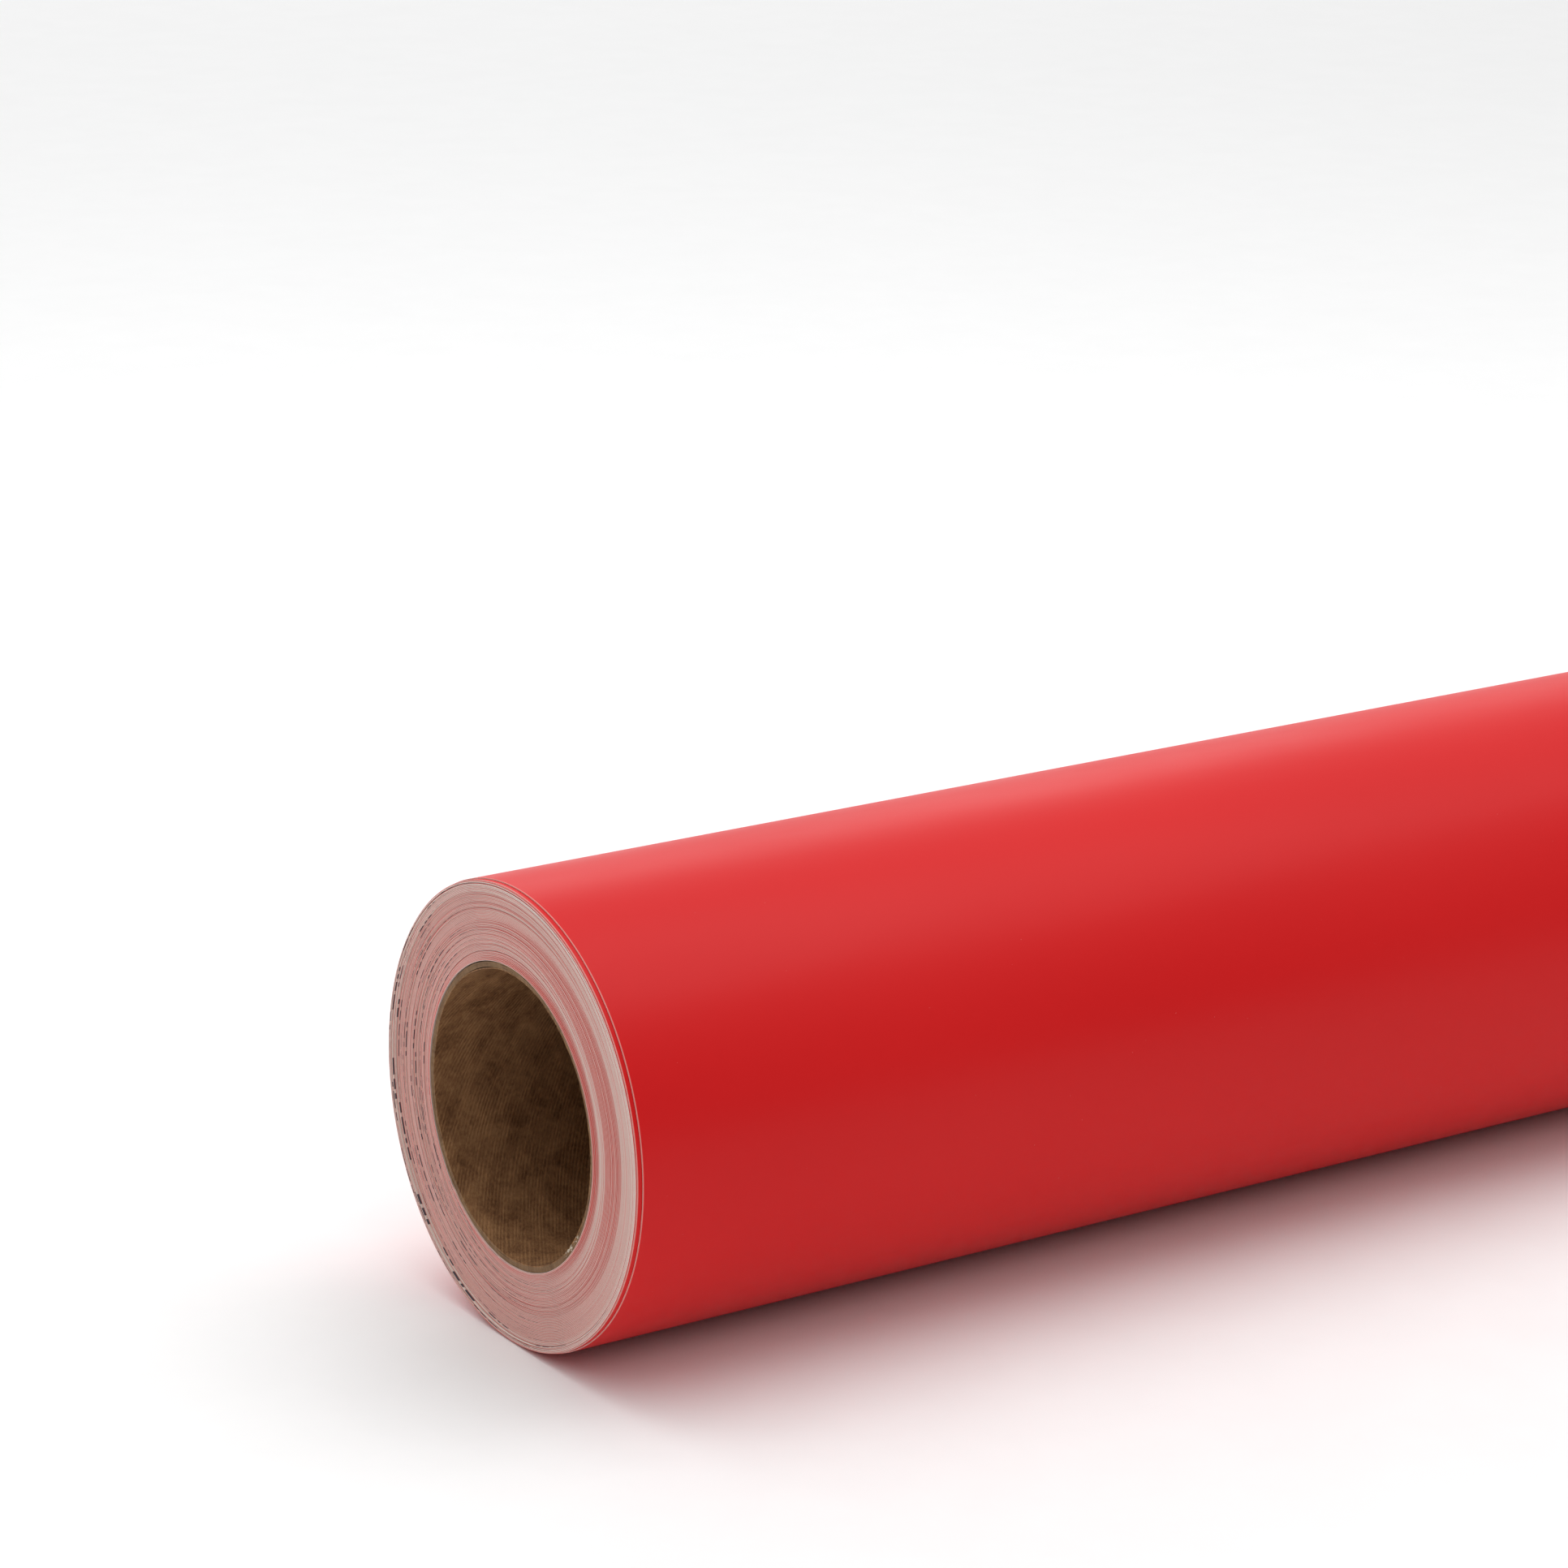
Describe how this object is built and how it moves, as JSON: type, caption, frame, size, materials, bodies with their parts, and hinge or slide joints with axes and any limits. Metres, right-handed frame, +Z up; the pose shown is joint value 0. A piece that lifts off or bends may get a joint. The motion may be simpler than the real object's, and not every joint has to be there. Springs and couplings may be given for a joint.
{
  "type": "roll of sign vinyl",
  "caption": "Roll of self-adhesive red sign vinyl on a paper liner, wound on an open paperboard core, with a loose tail that unrolls and a film end that peels.",
  "frame": {"origin": "middle of the core's length, on the axis of its bore", "axes": "+X along the roll's axis towards its far end, +Z up with the roll lying on its side, +Y towards the back, where the loose tail lies"},
  "size_m": [0.6117, 0.122, 0.1218],
  "materials": {
    "core_kraft": "rough brown kraft paper",
    "core_board": "cut tan paperboard",
    "starter_tape": "thin double-sided tape",
    "liner_paper": "smooth coated paper, printed back",
    "adhesive": "clear tacky acrylic layer",
    "red_film": "satin gloss red film",
    "tape_tab": "creped paper tape"
  },
  "bodies": {
    "roll": {"core_inner_ply": "core_kraft", "core_ply_2": "core_board", "core_ply_3": "core_board", "core_ply_4": "core_board", "core_outer_ply": "core_board", "starter_tape": "starter_tape", "wound_liner": "liner_paper", "wound_adhesive": "adhesive", "wound_film": "red_film", "second_wrap_liner": "liner_paper", "second_wrap_adhesive": "adhesive", "second_wrap_film": "red_film", "outer_wrap_liner": "liner_paper", "outer_wrap_adhesive": "adhesive", "outer_wrap_film": "red_film"},
    "tail_1": {"tail_1_liner": "liner_paper", "tail_1_adhesive": "adhesive", "tail_1_film": "red_film"},
    "tail_2": {"tail_2_liner": "liner_paper", "tail_2_adhesive": "adhesive", "tail_2_film": "red_film"},
    "tail_3": {"tail_3_liner": "liner_paper", "tail_3_adhesive": "adhesive", "tail_3_film": "red_film"},
    "tail_4": {"tail_4_liner": "liner_paper", "tail_4_adhesive": "adhesive", "tail_4_film": "red_film"},
    "tail_5": {"tail_5_liner": "liner_paper", "tail_5_adhesive": "adhesive", "tail_5_film": "red_film"},
    "tail_end": {"tail_end_liner": "liner_paper", "tail_end_adhesive": "adhesive", "tail_end_film": "red_film"},
    "film_end": {"peel_adhesive": "adhesive", "peel_film": "red_film", "tail_tape_near": "tape_tab", "tail_tape_far": "tape_tab"}
  },
  "joints": [
    {"name": "tail_unroll_1", "type": "hinge", "parent": "roll", "child": "tail_1", "pos_m": [0, 0.03055, 0.05278], "axis": [1, 0, 0], "range_deg": [0, 15]},
    {"name": "tail_unroll_2", "type": "hinge", "parent": "tail_1", "child": "tail_2", "pos_m": [0, 0.04319, 0.04309], "axis": [1, 0, 0], "range_deg": [0, 15]},
    {"name": "tail_unroll_3", "type": "hinge", "parent": "tail_2", "child": "tail_3", "pos_m": [0, 0.05289, 0.03045], "axis": [1, 0, 0], "range_deg": [0, 15]},
    {"name": "tail_unroll_4", "type": "hinge", "parent": "tail_3", "child": "tail_4", "pos_m": [0, 0.05898, 0.01574], "axis": [1, 0, 0], "range_deg": [0, 15]},
    {"name": "tail_unroll_5", "type": "hinge", "parent": "tail_4", "child": "tail_5", "pos_m": [0, 0.06106, -0.00005], "axis": [1, 0, 0], "range_deg": [0, 15]},
    {"name": "tail_unroll_6", "type": "hinge", "parent": "tail_5", "child": "tail_end", "pos_m": [0, 0.05898, -0.01584], "axis": [1, 0, 0], "range_deg": [0, 15]},
    {"name": "film_peel", "type": "hinge", "parent": "tail_end", "child": "film_end", "pos_m": [0, 0.05534, -0.02583], "axis": [1, 0, 0], "range_deg": [0, 150]}
  ],
  "couplings": [
    {"joint": "tail_unroll_2", "follows": "tail_unroll_1", "ratio": 1},
    {"joint": "tail_unroll_3", "follows": "tail_unroll_1", "ratio": 1},
    {"joint": "tail_unroll_4", "follows": "tail_unroll_1", "ratio": 1},
    {"joint": "tail_unroll_5", "follows": "tail_unroll_1", "ratio": 1},
    {"joint": "tail_unroll_6", "follows": "tail_unroll_1", "ratio": 1}
  ]
}
